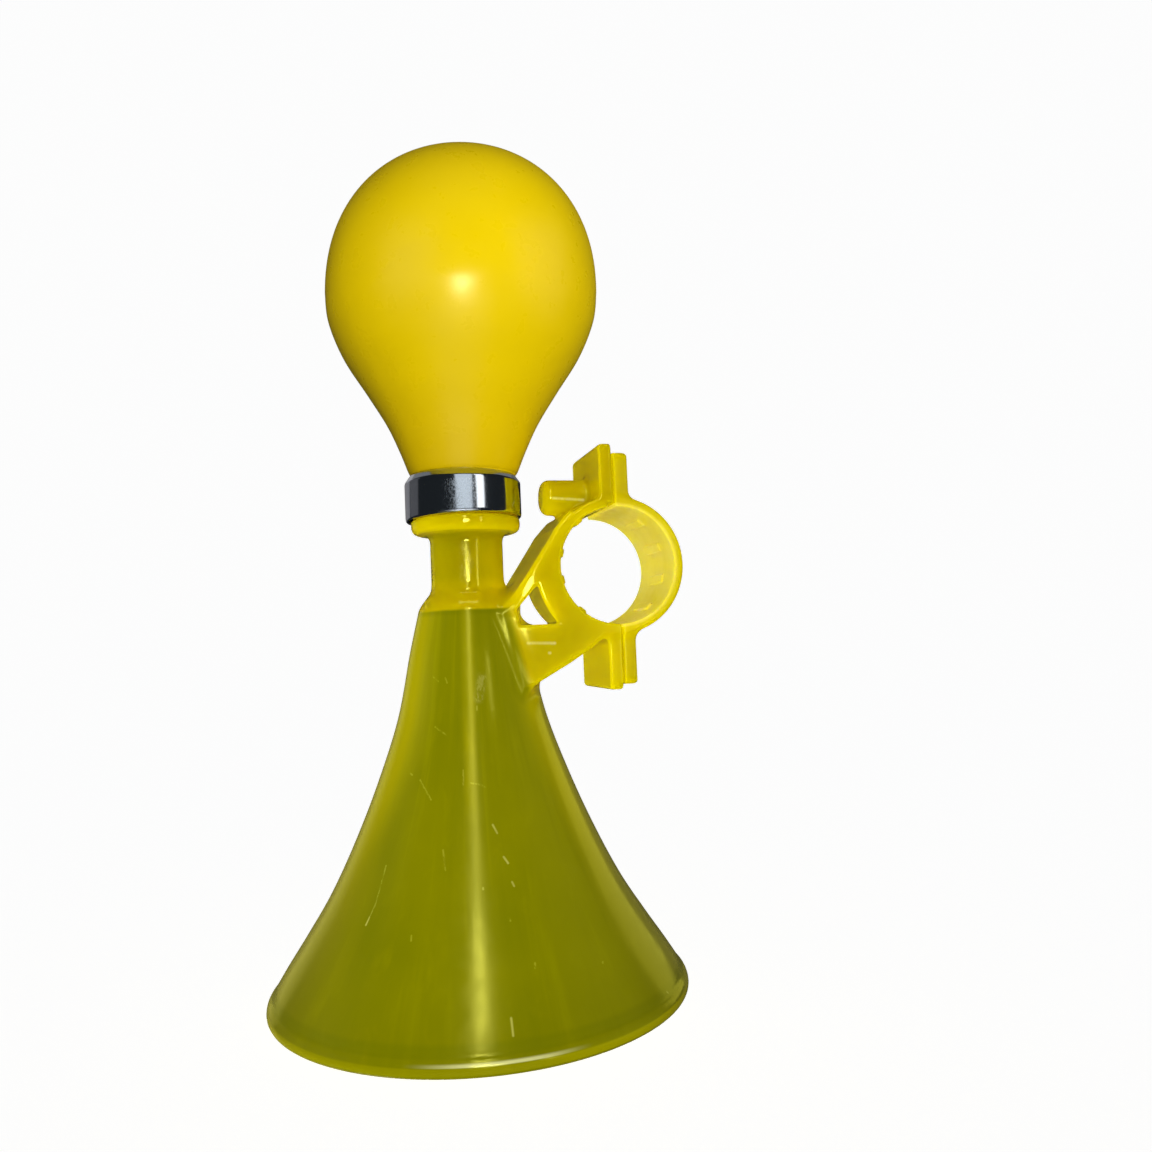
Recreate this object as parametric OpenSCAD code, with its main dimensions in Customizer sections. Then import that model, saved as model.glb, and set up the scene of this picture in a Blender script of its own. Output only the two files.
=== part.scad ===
// Squeeze horn for a handlebar: a bell standing on its mouth, a reed in the neck, a rubber bulb on top
// and a two-piece clamp ring beside the neck. Millimetres, +Z up, origin at the centre of the mouth plane.
// The clamp ring is on +X with its bore along Y.

/* [Bell] */
// outer radius of the mouth rim
mouth_r = 44; // [36:0.5:52]
// height of the thick lip round the mouth
lip_h = 3.2; // [2:0.1:6]
// height of the bell from mouth to shoulder
bell_h = 82; // [70:1:95]
// height at which the hollow of the bell ends
throat_z = 81; // [70:0.5:90]
// radius of the hollow where it ends
throat_r = 7.4; // [5.8:0.1:8.4]

/* [Neck] */
// outer radius of the neck
neck_r = 7.9; // [6.5:0.1:9]
// radius of the bore that holds the reed
neck_bore_r = 5.5; // [4:0.1:6]
// radius of the flange the bulb sits on
flange_r = 11.9; // [10:0.1:14]
// underside of the flange
flange_z = 97.4; // [94:0.1:99]
// top of the flange
seat_z = 101; // [99:0.1:104]
// outer radius of the spigot inside the bulb
spigot_r = 8; // [6.5:0.1:9]
// top of the spigot
spigot_z = 112; // [106:0.5:116]

/* [Bulb and band] */
// largest radius of the bulb
bulb_r = 29.9; // [24:0.1:36]
// height of the bulb's widest place
bulb_mid_z = 150.5; // [140:0.5:160]
// height of the crown above the widest place
bulb_dome_h = 31.7; // [26:0.1:40]
// thickness of the rubber
bulb_wall = 2.6; // [1.8:0.1:4]
// outer radius of the bulb's neck inside the band
bulb_neck_r = 11.3; // [10:0.1:12]
// outer radius of the band
band_r = 12.5; // [11.5:0.1:14]
// thickness of the band
band_t = 1.1; // [0.6:0.1:2]
// bottom of the band
band_z = 101.3; // [100:0.1:104]
// height of the band below its bevel
band_h = 7.8; // [5:0.1:12]

/* [Clamp] */
// distance from the horn's axis to the clamp's axis
ring_x = 31.1; // [26:0.1:38]
// height of the clamp's axis
ring_z = 89.2; // [80:0.1:96]
// radius of the clamp's bore
ring_bore_r = 12.7; // [10:0.1:16]
// thickness of the clamp ring
ring_wall = 2.2; // [1.6:0.1:4]
// width of the clamp along its bore
clamp_w = 24; // [16:0.5:30]
// gap between the two halves
split_gap = 0.4; // [0.2:0.1:1.5]
// top of the upper ear on the fixed half
ear_top_z = 115.6; // [110:0.1:120]
// bottom of the lower ear on the fixed half
ear_low_z = 62.3; // [58:0.1:70]

/* [Clamp screw] */
// height of the screw
screw_z = 105.5; // [104:0.1:110]
// radius over the thread
screw_r = 1.5; // [1.2:0.1:2]
// radius of the head
head_r = 2.8; // [2.4:0.1:3.4]
// thickness of the head
head_h = 2.1; // [1.5:0.1:3]
// outer radius of the boss
boss_r = 4; // [3.4:0.1:5]

/* [Reed] */
// width of the tongue
tongue_w = 4.4; // [3:0.1:6]
// thickness of the tongue
tongue_t = 0.2; // [0.1:0.05:0.4]
// length of the tongue
tongue_l = 20; // [14:0.5:24]

/* [Hidden] */
$fn = 96;
ring_or = ring_bore_r + ring_wall;
face_x = ring_x - 0.5;            // flat side of the fixed half
half_x = face_x + split_gap;      // flat side of the loose half
ear_x = 28.0;                     // left face of the upper fixed ear
ear_out_x = 34.2;                 // right face of the upper loose ear
low_x = 28.3;                     // left face of the lower fixed ear
low_face_x = 31.2;                // flat side of the lower fixed ear
low_out_x = 34.4;                 // right face of the lower loose ear
boss_x = 17.0;                    // rounded end of the boss
tip_x = 19.5;                     // end of the screw

// a smooth curve through hand-chosen points
function cr(a, b, c, d, t) = 0.5 * (2 * b + (c - a) * t + (2 * a - 5 * b + 4 * c - d) * t * t + (3 * b - a - 3 * c + d) * t * t * t);
function curve(p, n) = [for (i = [0 : len(p) - 2], k = [0 : n - 1])
    cr(p[max(i - 1, 0)], p[i], p[i + 1], p[min(i + 2, len(p) - 1)], k / n)];

// flare of the bell, as [radius, height]
flare = [[mouth_r - 1.6, lip_h + 1], [40, 8], [36, 14], [31, 22], [26, 32], [20.9, 44], [16, 58], [13, 72], [11.2, bell_h - 2.4]];
hollow = [[mouth_r - 2.9, lip_h], [37.9, 8], [33.9, 14], [28.9, 22], [23.9, 32], [18.8, 44], [13.9, 58], [10.7, 72], [throat_r, throat_z]];

module bell_outside() {
    rotate_extrude() polygon(concat(
        [[0, 0], [mouth_r - 0.6, 0], [mouth_r, 0.6], [mouth_r, lip_h - 0.6], [mouth_r - 0.6, lip_h]],
        curve(flare, 4),
        [[11.2, bell_h - 2.4], [10.4, bell_h], [9.2, bell_h + 1.5], [8.3, bell_h + 2.4], [neck_r, bell_h + 3.4],
         [neck_r, flange_z], [flange_r - 0.4, flange_z], [flange_r, flange_z + 0.4], [flange_r, seat_z],
         [spigot_r, seat_z], [spigot_r, spigot_z - 0.8], [spigot_r - 0.8, spigot_z], [0, spigot_z]]));
}

module bell() {
    color([0.72, 0.68, 0.05, 0.9])
    difference() {
        bell_outside();
        rotate_extrude() polygon(concat(
            [[0, -1], [mouth_r - 1.3, -1], [mouth_r - 1.3, 0.6]],
            curve(hollow, 4),
            [[throat_r, throat_z], [0, throat_z]]));
        translate([0, 0, throat_z - 1]) cylinder(r = neck_bore_r, h = spigot_z - throat_z + 3);
    }
}

// plate across the whole width of the clamp, drawn in X and Z
module slab(w) {
    translate([0, w / 2, 0]) rotate([90, 0, 0]) linear_extrude(height = w) children();
}

// a bar with one rounded end, drawn in X and Z
module ear_2d(x0, x1, z0, z1, r) {
    polygon([[x0, z0], [x1, z0], [x1, z1 - r], [x1 - 0.3 * r, z1 - 0.3 * r], [x1 - r, z1], [x0 + r, z1], [x0 + 0.3 * r, z1 - 0.3 * r], [x0, z1 - r]]);
}

module clamp_bracket() {
    color([0.78, 0.7, 0.02])
    difference() {
        union() {
            slab(clamp_w) difference() {
                union() {
                    translate([ring_x, ring_z]) circle(r = ring_or);
                    // upper strut and lower web
                    polygon([[5, 79.5], [7.4, 82.4], [10.2, 86.4], [17.6, 97.4], [21, 101], [24, 90], [31, 75.5], [28.6, 74.6],
                             [24, 71.2], [19.6, 68.5], [11.6, 64.2], [9, 63]]);
                    ear_2d(ear_x, face_x + 1, ring_z, ear_top_z, 1.2);
                    mirror([0, 1]) ear_2d(low_x, low_face_x, -ring_z + 8, -ear_low_z, 0.8);
                }
                // three-cornered hole between the struts
                difference() {
                    polygon([[9.2, 77], [8.6, 80.2], [13.6, 85.9], [18, 84], [20, 77]]);
                    translate([ring_x, ring_z]) circle(r = 17.6);
                }
                // flat sides that face the loose half
                translate([face_x, ring_z - 8]) square([30, 60]);
                translate([low_face_x, 50]) square([30, ring_z - 8 - 49.9]);
            }
            // boss for the screw
            translate([boss_x, 0, screw_z]) rotate([0, 90, 0]) {
                rotate_extrude() polygon([[0, 0], [boss_r - 1.4, 0], [boss_r - 0.4, 0.5], [boss_r, 1.5], [boss_r, face_x - boss_x - 0.2], [0, face_x - boss_x - 0.2]]);
            }
        }
        // the web narrows towards the bell
        for (side = [0, 1]) mirror([0, side, 0]) translate([0, 0, 50]) linear_extrude(height = 80) polygon([[-20, 6], [2, 7], [7, 10], [13, clamp_w / 2], [13, 30], [-20, 30]]);
        // bore for the handlebar
        translate([ring_x, 0, ring_z]) rotate([90, 0, 0]) cylinder(r = ring_bore_r, h = 60, center = true);
        // pilot hole, with room round the thread
        translate([tip_x - 1, 0, screw_z]) rotate([0, 90, 0]) cylinder(r = screw_r + 0.05, h = 20);
        // slot that the loose half hooks into
        translate([29.6, -8.2, 66.8]) cube([5, 16.4, 2.6]);
        // room for the bell and what is inside it
        bell_outside();
    }
}

module clamp_half() {
    color([0.8, 0.72, 0.03])
    difference() {
        union() {
            slab(clamp_w) difference() {
                union() {
                    translate([ring_x, ring_z]) circle(r = ring_or);
                    ear_2d(half_x - 1, ear_out_x, ring_z + 9, ear_top_z - 1.6, 1);
                    mirror([0, 1]) ear_2d(low_face_x + split_gap, low_out_x, -ring_z + 9, -ear_low_z - 1.1, 0.7);
                }
                translate([ring_x, ring_z]) circle(r = ring_bore_r);
                translate([half_x - 40, ring_z - 8]) square([40, 60]);
                translate([low_face_x + split_gap - 40, 50]) square([40, ring_z - 8 - 49.9]);
            }
            // tongue that hooks into the fixed half
            translate([29.9, -7.9, 67.1]) cube([2.2, 15.8, 2]);
        }
        translate([half_x - 1, 0, screw_z]) rotate([0, 90, 0]) cylinder(r = screw_r + 0.3, h = 10);
        // seat for the screw's head
        translate([ear_out_x, 0, screw_z]) rotate([0, 90, 0]) cylinder(r = head_r + 0.25, h = 10);
    }
}

module clamp_screw() {
    color([0.75, 0.76, 0.78])
    translate([tip_x, 0, screw_z]) rotate([0, 90, 0])
    difference() {
        rotate_extrude() polygon(concat(
            [[0, 0], [0.4, 0.2], [screw_r, 2.2]],
            [[screw_r, ear_out_x - tip_x], [head_r, ear_out_x - tip_x], [head_r, ear_out_x - tip_x + 1.2],
             [head_r - 0.4, ear_out_x - tip_x + 1.8], [head_r - 1.1, ear_out_x - tip_x + head_h], [0, ear_out_x - tip_x + head_h]]));
        // cross recess
        translate([0, 0, ear_out_x - tip_x + head_h - 0.5]) cube([3.2, 0.7, 2.2], center = true);
        translate([0, 0, ear_out_x - tip_x + head_h - 0.5]) cube([0.7, 3.2, 2.2], center = true);
    }
}

// side of the bulb from the band to its widest place, then a dome
bulb_side = [[12.1, 111.2], [13.9, 116], [16.7, 122], [21, 129], [26.1, 137], [29.2, 144.6], [bulb_r, bulb_mid_z]];
bulb_in = [[9.6, 114], [11.4, 117.2], [14.4, 123.6], [18.8, 130.6], [23.7, 138.2], [26.6, 145], [bulb_r - bulb_wall, bulb_mid_z]];
// the dome is a little fuller than an ellipse
function dome(r, h, n) = [for (i = [0 : n]) [r * pow(cos(90 * i / n), 0.91), bulb_mid_z + h * pow(sin(90 * i / n), 0.91)]];

module bulb() {
    color([0.92, 0.82, 0.02])
    rotate_extrude() polygon(concat(
        [[spigot_r + 0.1, seat_z + 0.1], [bulb_neck_r, seat_z + 0.1], [bulb_neck_r, 110.4]],
        curve(bulb_side, 4),
        dome(bulb_r, bulb_dome_h, 20),
        [for (i = [20 : -1 : 0]) dome(bulb_r - bulb_wall, bulb_dome_h - bulb_wall, 20)[i]],
        [for (i = [len(curve(bulb_in, 4)) - 1 : -1 : 0]) curve(bulb_in, 4)[i]],
        [[spigot_r + 0.1, 112.4]]));
}

module band() {
    color([0.8, 0.81, 0.83])
    rotate_extrude() polygon([
        [band_r - band_t, band_z], [band_r - 0.3, band_z], [band_r, band_z + 0.3], [band_r, band_z + band_h],
        [band_r - 0.28, band_z + band_h + 1.2], [band_r - 0.6, band_z + band_h + 1.5], [band_r - 0.95, band_z + band_h + 1.2],
        [band_r - band_t, band_z + band_h - 0.4]]);
}

// the reed stands up inside the bulb's neck: a half-round tube with a slot in its flat, covered by the tongue
flat_y = -1.0;
pivot_z = 106.5;

module reed_holder() {
    color([0.9, 0.88, 0.8])
    difference() {
        union() {
            translate([0, 0, 94]) cylinder(r = neck_bore_r, h = 16);
            intersection() {
                translate([0, 0, 94]) cylinder(r = 4.2, h = 32);
                translate([-6, flat_y, 94]) cube([12, 12, 32]);
            }
        }
        // air way
        translate([0, 1.3, 93]) cylinder(r = 1.6, h = 31.5);
        // slot under the tongue
        translate([-1.2, flat_y - 1, 112.5]) cube([2.4, 2.6, 11]);
        // pocket for the tongue's root and its wedge
        translate([-2.6, -4.4, 103.4]) cube([5.2, 4.4 + flat_y, 7]);
    }
}

module reed_tongue() {
    color([0.85, 0.66, 0.25])
    translate([-tongue_w / 2, flat_y - 0.4 - tongue_t, 104]) cube([tongue_w, tongue_t, tongue_l]);
}

module reed_wedge() {
    color([0.55, 0.42, 0.24])
    translate([-2.5, -4.3, 103.5]) cube([5, 2.4, 6.3]);
}

bell();
clamp_bracket();
clamp_half();
clamp_screw();
bulb();
band();
reed_holder();
reed_tongue();
reed_wedge();
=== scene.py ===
import math

import bpy
import numpy as np
from mathutils import Matrix, Vector


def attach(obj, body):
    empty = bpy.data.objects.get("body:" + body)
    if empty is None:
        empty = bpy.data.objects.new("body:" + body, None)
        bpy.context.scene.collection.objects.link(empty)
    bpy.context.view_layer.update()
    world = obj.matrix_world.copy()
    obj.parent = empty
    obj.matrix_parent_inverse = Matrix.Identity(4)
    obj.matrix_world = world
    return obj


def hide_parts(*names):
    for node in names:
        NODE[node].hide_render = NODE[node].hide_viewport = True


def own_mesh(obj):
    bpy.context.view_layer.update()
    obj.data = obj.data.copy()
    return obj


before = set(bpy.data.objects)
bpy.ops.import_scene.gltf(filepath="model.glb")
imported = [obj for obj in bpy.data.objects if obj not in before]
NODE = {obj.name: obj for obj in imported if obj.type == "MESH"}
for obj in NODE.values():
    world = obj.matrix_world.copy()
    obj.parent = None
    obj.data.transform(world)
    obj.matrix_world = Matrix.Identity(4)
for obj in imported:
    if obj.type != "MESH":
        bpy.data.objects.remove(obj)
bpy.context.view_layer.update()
MM = 0.001

# ---------------------------------------------------------------------------
# dimensions shared with the frame, in millimetres
# ---------------------------------------------------------------------------
RING_X, RING_Z, BORE_R, RING_R = 31.1, 89.2, 12.7, 14.9
HALF_W = 12.0
SCREW_Z = 105.5

FLARE = [(42.4, 4.2), (40, 8), (36, 14), (31, 22), (26, 32), (20.9, 44), (16, 58), (13, 72), (11.2, 79.6),
         (10.85, 81.0), (10.2, 82.2), (9.3, 83.4), (8.5, 84.4), (8.05, 85.4), (7.9, 86.8)]
HOLLOW = [(41.1, 3.2), (37.9, 8), (33.9, 14), (28.9, 22), (23.9, 32), (18.8, 44), (13.9, 58), (10.7, 72), (7.4, 81)]
BULB_SIDE = [(11.45, 110.5), (12.1, 111.5), (13.9, 116), (16.7, 122), (21, 129), (26.1, 137), (29.2, 144.6), (29.9, 150.5)]
BULB_R, BULB_MID, BULB_DOME = 29.9, 150.5, 31.7


def catmull(points, n):
    """A smooth curve through the points."""
    out = []
    p = [points[0]] + list(points) + [points[-1]]
    for i in range(1, len(p) - 2):
        a, b, c, d = (np.array(p[k], float) for k in (i - 1, i, i + 1, i + 2))
        for k in range(n):
            t = k / n
            out.append(tuple(0.5 * (2 * b + (c - a) * t + (2 * a - 5 * b + 4 * c - d) * t * t + (3 * b - a - 3 * c + d) * t ** 3)))
    out.append(tuple(points[-1]))
    return out


# ---------------------------------------------------------------------------
# signed distance fields, and a mesh of their surface
# ---------------------------------------------------------------------------
class Table:
    """Signed distance to a closed outline, tabulated on a fine grid and read back between its points."""

    def __init__(self, outline, lo, hi, step):
        self.lo, self.step = np.array(lo, float), step
        self.n = np.ceil((np.array(hi, float) - self.lo) / step).astype(int) + 1
        a = self.lo[0] + step * np.arange(self.n[0])
        b = self.lo[1] + step * np.arange(self.n[1])
        A, B = (g.ravel() for g in np.meshgrid(a, b, indexing="ij"))
        best = np.full(A.shape, 1e9, np.float64)
        inside = np.zeros(A.shape, bool)
        pts = np.array(outline, float)
        for (x0, y0), (x1, y1) in zip(pts, np.roll(pts, -1, axis=0)):
            dx, dy = x1 - x0, y1 - y0
            ll = dx * dx + dy * dy
            if ll < 1e-12:
                continue
            t = np.clip(((A - x0) * dx + (B - y0) * dy) / ll, 0, 1)
            best = np.minimum(best, (A - x0 - t * dx) ** 2 + (B - y0 - t * dy) ** 2)
            if dy != 0:
                crosses = (y0 > B) != (y1 > B)
                inside ^= crosses & (A < x0 + (B - y0) / dy * dx)
        d = np.sqrt(best)
        d[inside] *= -1
        self.d = d.reshape(self.n).astype(np.float32)

    def __call__(self, a, b):
        u = np.clip((a - self.lo[0]) / self.step, 0, self.n[0] - 1.001)
        v = np.clip((b - self.lo[1]) / self.step, 0, self.n[1] - 1.001)
        i, j = u.astype(np.int32), v.astype(np.int32)
        u, v = u - i, v - j
        d = self.d
        return (d[i, j] * (1 - u) * (1 - v) + d[i + 1, j] * u * (1 - v) + d[i, j + 1] * (1 - u) * v + d[i + 1, j + 1] * u * v)


def smin(a, b, k):
    h = np.maximum(k - np.abs(a - b), 0) / k
    return np.minimum(a, b) - h * h * k * 0.25


def smax(a, b, k):
    return -smin(-a, -b, k)


def rounded(d2, dy, r):
    """An outline pulled to a thickness, its edges rounded with radius r."""
    p, q = d2 + r, dy + r
    return np.hypot(np.maximum(p, 0), np.maximum(q, 0)) + np.minimum(np.maximum(p, q), 0) - r


def box3(x, y, z, centre, half, r):
    qx, qy, qz = (np.abs(c - m) - (h - r) for c, m, h in zip((x, y, z), centre, half))
    return (np.sqrt(np.maximum(qx, 0) ** 2 + np.maximum(qy, 0) ** 2 + np.maximum(qz, 0) ** 2)
            + np.minimum(np.maximum(np.maximum(qx, qy), qz), 0) - r)


EDGES = [((a, b, c), (a + (d == 0), b + (d == 1), c + (d == 2)))
         for d in range(3) for a in (0, 1) for b in (0, 1) for c in (0, 1)
         if (a, b, c)[d] == 0]


def surface(field, lo, hi, step):
    """Points and quads of the surface where field is 0, in the box from lo to hi."""
    block = 8
    lo = np.array(lo, float)
    nb = np.ceil((np.array(hi, float) - lo) / (step * block)).astype(int)
    bc = [lo[d] + step * block * (np.arange(nb[d]) + 0.5) for d in range(3)]
    X, Y, Z = np.meshgrid(*bc, indexing="ij")
    coarse = field(X.ravel(), Y.ravel(), Z.ravel()).reshape(nb)
    near = np.abs(coarse) < step * block * 0.866 * 1.35 + 0.4
    n = nb * block + 1
    F = np.empty(n, np.float32)
    F[:-1, :-1, :-1] = coarse.repeat(block, 0).repeat(block, 1).repeat(block, 2)
    F[-1], F[:, -1], F[:, :, -1] = F[-2], F[:, -2], F[:, :, -2]
    M = np.zeros(n, bool)
    for bi, bj, bk in np.argwhere(near):
        M[bi * block:bi * block + block + 1, bj * block:bj * block + block + 1, bk * block:bk * block + block + 1] = True
    idx = np.argwhere(M)
    vals = np.empty(len(idx), np.float32)
    for s in range(0, len(idx), 800000):
        p = lo + step * idx[s:s + 800000]
        vals[s:s + 800000] = field(p[:, 0], p[:, 1], p[:, 2])
    F[M] = vals
    inside = F < 0
    c = inside.astype(np.uint8)
    total = (c[:-1, :-1, :-1] + c[1:, :-1, :-1] + c[:-1, 1:, :-1] + c[:-1, :-1, 1:]
             + c[1:, 1:, :-1] + c[1:, :-1, 1:] + c[:-1, 1:, 1:] + c[1:, 1:, 1:])
    active = (total > 0) & (total < 8)
    cells = np.argwhere(active)
    number = np.full(active.shape, -1, np.int32)
    number[active] = np.arange(len(cells))
    acc, cnt = np.zeros((len(cells), 3)), np.zeros(len(cells))
    for a, b in EDGES:
        fa = F[cells[:, 0] + a[0], cells[:, 1] + a[1], cells[:, 2] + a[2]].astype(float)
        fb = F[cells[:, 0] + b[0], cells[:, 1] + b[1], cells[:, 2] + b[2]].astype(float)
        x = (fa < 0) != (fb < 0)
        t = fa[x] / (fa[x] - fb[x])
        acc[x] += np.array(a) + t[:, None] * (np.array(b) - np.array(a))
        cnt[x] += 1
    points = lo + step * (cells + acc / cnt[:, None])
    quads = []
    for d in range(3):
        e, f = (d + 1) % 3, (d + 2) % 3
        first = np.moveaxis(inside, (d, e, f), (0, 1, 2))
        num = np.moveaxis(number, (d, e, f), (0, 1, 2))
        cross = first[:-1, 1:-1, 1:-1] != first[1:, 1:-1, 1:-1]
        i, j, k = np.nonzero(cross)
        j, k = j + 1, k + 1
        q = np.stack([num[i, j - 1, k - 1], num[i, j, k - 1], num[i, j, k], num[i, j - 1, k]], 1)
        flip = ~first[i, j, k]
        q[flip] = q[flip][:, ::-1]
        quads.append(q)
    quads = np.concatenate(quads)
    # each point is moved onto the surface itself
    for _ in range(3):
        d, g = gradient(field, points)
        move = -d[:, None] * g / np.maximum((g * g).sum(1), 0.2)[:, None]
        length = np.linalg.norm(move, axis=1)
        move *= np.minimum(1, 0.4 * step / np.maximum(length, 1e-9))[:, None]
        points = points + move
    _, g = gradient(field, points)
    return points, quads, g / np.maximum(np.linalg.norm(g, axis=1), 1e-9)[:, None]


def gradient(field, p, e=0.03):
    d = field(p[:, 0], p[:, 1], p[:, 2])
    g = np.stack([field(p[:, 0] + e * (a == 0), p[:, 1] + e * (a == 1), p[:, 2] + e * (a == 2))
                  - field(p[:, 0] - e * (a == 0), p[:, 1] - e * (a == 1), p[:, 2] - e * (a == 2)) for a in range(3)], 1) / (2 * e)
    return d, g


def make_object(name, points, faces, normals=None, smooth=True):
    mesh = bpy.data.meshes.new(name)
    mesh.from_pydata((np.asarray(points) * MM).tolist(), [], [tuple(int(i) for i in f) for f in faces])
    mesh.validate()
    mesh.update()
    if smooth:
        mesh.polygons.foreach_set("use_smooth", [True] * len(mesh.polygons))
    if normals is not None and len(normals) == len(mesh.vertices):
        mesh.normals_split_custom_set_from_vertices(np.asarray(normals).tolist())
    obj = bpy.data.objects.new(name, mesh)
    bpy.context.scene.collection.objects.link(obj)
    return obj


def lathe(name, profile, segments, closed=True, shift=None):
    """A profile of (radius, height) turned about Z. shift gives a ring's sideways offset from its height."""
    n = len(profile)
    pts, faces, start, size = [], [], [], []
    for r, z in profile:
        start.append(len(pts))
        ox, oy = shift(z) if shift else (0, 0)
        if r < 1e-6:
            size.append(1)
            pts.append((ox, oy, z))
        else:
            size.append(segments)
            pts += [(ox + r * math.cos(2 * math.pi * k / segments), oy + r * math.sin(2 * math.pi * k / segments), z) for k in range(segments)]
    for i in range(n if closed else n - 1):
        j = (i + 1) % n
        if size[i] == 1 and size[j] == 1:
            continue
        for k in range(segments):
            m = (k + 1) % segments
            if size[i] == 1:
                faces.append((start[i], start[j] + m, start[j] + k))
            elif size[j] == 1:
                faces.append((start[i] + k, start[i] + m, start[j]))
            else:
                faces.append((start[i] + k, start[i] + m, start[j] + m, start[j] + k))
    return make_object(name, pts, faces)


# ---------------------------------------------------------------------------
# the horn moulding: bell, neck, flange, spigot and bracket
# ---------------------------------------------------------------------------
def mirrored(profile):
    """An outline on the right of the axis, closed by its own mirror image."""
    return list(profile) + [(-r, z) for r, z in reversed(profile)]


OUTER = mirrored([(42.9, 0), (43.35, 0.08), (43.7, 0.3), (43.93, 0.7), (44, 1.2), (43.95, 1.7), (43.8, 2.2), (43.56, 2.65), (43.25, 3.05), (42.95, 3.35), (42.68, 3.7)]
                 + catmull(FLARE, 8)
                 + [(7.9, 95.6), (8.0, 96.3), (8.3, 96.9), (8.85, 97.3), (9.6, 97.45), (10.6, 97.55), (11.25, 97.8), (11.65, 98.25), (11.86, 98.9),
                    (11.9, 99.6), (11.86, 100.2), (11.7, 100.6), (11.4, 100.88), (11, 101), (8, 101), (8, 111.4), (7.85, 111.8), (7.4, 112)])
INNER = mirrored([(42.9, -4), (42.9, 0.1), (42.7, 0.6), (42.3, 1.6)] + catmull(HOLLOW, 8) + [(5.5, 81.05), (5.5, 116)])

outer_t = Table(OUTER, (-1, -3), (48, 117), 0.1)
inner_t = Table(INNER, (-1, -6), (48, 118), 0.1)
T = 1.0
strut_t = Table([(5, 79.5), (7.4, 82.4), (10.2, 86.4), (17.6, 97.4), (21, 101), (24, 90), (31, 75.5), (28.6, 74.6), (24, 71.2),
                 (19.6, 68.5), (11.6, 64.2), (9, 63)], (-2, 54), (52, 122), 0.1)
hole_t = Table([(9.2, 77), (8.6, 80.2), (13.6, 85.9), (18, 84.5), (21, 77)], (-2, 54), (52, 122), 0.1)


def plate(x, z, x0, x1, z0, z1, r):
    """A rounded rectangle in X and Z."""
    qx, qz = np.abs(x - (x0 + x1) / 2) - ((x1 - x0) / 2 - r), np.abs(z - (z0 + z1) / 2) - ((z1 - z0) / 2 - r)
    return np.hypot(np.maximum(qx, 0), np.maximum(qz, 0)) + np.minimum(np.maximum(qx, qz), 0) - r


def ribs(x, y, z, angles, y0, y1, rise):
    """Low grip ribs on the wall of the clamp's bore."""
    best = np.full(x.shape, 9.0)
    for deg in angles:
        a = math.radians(deg)
        cx, cz = RING_X + (BORE_R + 0.6 - rise / 2) * math.cos(a), RING_Z + (BORE_R + 0.6 - rise / 2) * math.sin(a)
        u = (x - cx) * math.cos(a) + (z - cz) * math.sin(a)
        v = -(x - cx) * math.sin(a) + (z - cz) * math.cos(a)
        best = np.minimum(best, box3(u, y, v, (0, (y0 + y1) / 2, 0), (0.6 + rise / 2, (y1 - y0) / 2, 0.95), 0.28))
    return best


def bracket_field(x, y, z):
    hr = np.hypot(x - RING_X, z - RING_Z)
    ay = np.abs(y)
    # upper strut, lower web, ring and ears, all one plate as wide as the clamp
    flat = smin(strut_t(x, z), hr - RING_R, 1.6)
    top = plate(x, z, 27.7, 33, 95, 115.9, 1.2)
    top = smax(top, smax(ay - HALF_W, z - 115.9, 1.8), 0.3)
    low = plate(x, z, 28.3, 34, 62.3, 80, 0.85)
    low = smax(low, smax(ay - HALF_W, 62.3 - z, 2.2), 0.3)
    flat = smin(flat, top, 1.6)
    flat = smin(flat, low, 2.0)
    # the upper strut narrows towards the neck, the web does not
    t = np.clip((x + 1) / 16.5, 0, 1)
    low_part = np.clip((83.5 - z) / 5, 0, 1)
    low_part = low_part * low_part * (3 - 2 * low_part)
    width = HALF_W - (HALF_W - 6) * (1 - t) ** 2 * (1 - low_part) - 2.2 * np.clip(1 - (x - 3) / 10, 0, 1.2) ** 2 * low_part
    body = rounded(flat, ay - width, 0.85)
    # the three-cornered hole, whose wall leans with the mould's draft
    hole = smax(hole_t(x, z), 17.15 - 1.15 * y / 12 - hr, 0.9)
    body = smax(body, -hole, 0.7)
    # screw boss
    boss = rounded(np.hypot(y, z - SCREW_Z) - 4.0, np.abs(x - 24.5) - 7.5, 1.9)
    body = smin(body, boss, 1.6)
    # bore and its ribs
    body = smax(body, BORE_R - hr, 0.35)
    body = smin(body, ribs(x, y, z, (131, 167, 193, 229), -11.3, 11.3, 0.55), 0.3)
    # step at the top of the bore, then the flat sides that face the loose half
    body = smax(body, -box3(x, y, z, (30.5, 0, 101.6), (1.3, 20, 1.2), 0.25), 0.25)
    split = np.where(z > RING_Z - 8, x - 30.6, x - 31.2)
    body = smax(body, split, 0.4)
    # pilot hole and the slot of the lower hook
    body = smax(body, -np.maximum(np.hypot(y, z - SCREW_Z) - 1.55, 18.5 - x), 0.1)
    return smax(body, -box3(x, y, z, (32.1, 0, 68.1), (2.5, 8.2, 1.3), 0.2), 0.15)


def horn_field(x, y, z):
    r = np.hypot(x, y)
    both = smin(outer_t(r, z), bracket_field(x, y, z), 3.2)
    return smax(both, -inner_t(r, z), 0.3)


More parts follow.
